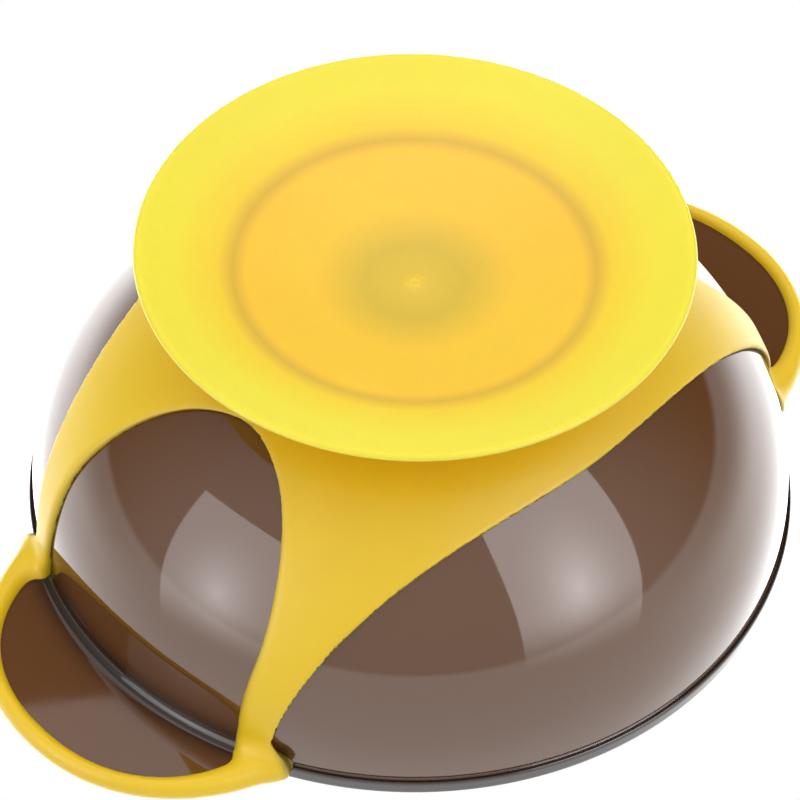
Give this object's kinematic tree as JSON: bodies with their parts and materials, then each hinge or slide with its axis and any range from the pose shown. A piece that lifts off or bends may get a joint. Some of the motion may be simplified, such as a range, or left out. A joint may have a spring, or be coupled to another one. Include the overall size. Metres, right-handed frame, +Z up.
{
  "type": "suction bowl",
  "caption": "Child's feeding bowl in tinted hard plastic with two flat handles, a soft overmoulded grip skin and a soft suction cup on a hard stud underneath.",
  "frame": {"origin": "centre of the suction cup's lip, on the table the bowl stands on", "axes": "+Z up along the bowl's axis, towards its opening; the two handles point along +X and -X"},
  "size_m": [0.1678, 0.13, 0.0588],
  "materials": {
    "bowl_shell": "clear brown tinted plastic, polished",
    "grip_overmould": "soft satin yellow elastomer",
    "suction_cup": "soft translucent yellow elastomer, satin",
    "hub_stud": "dark brown moulded plastic"
  },
  "bodies": {
    "cup": {"suction_cup": "suction_cup"},
    "hub": {"hub_stud": "hub_stud"},
    "bowl": {"bowl_shell": "bowl_shell", "grip_overmould": "grip_overmould"}
  },
  "joints": [
    {"name": "cup_press", "type": "slide", "parent": "cup", "child": "hub", "axis": [0, 0, -1], "range_m": [0, 0.006], "stiffness_N_per_m": 2500, "springref_m": -0.001, "deforming": ["suction_cup"]},
    {"name": "bowl_pull_off", "type": "slide", "parent": "hub", "child": "bowl", "axis": [0, 0, 1], "range_m": [0, 0.025]}
  ]
}
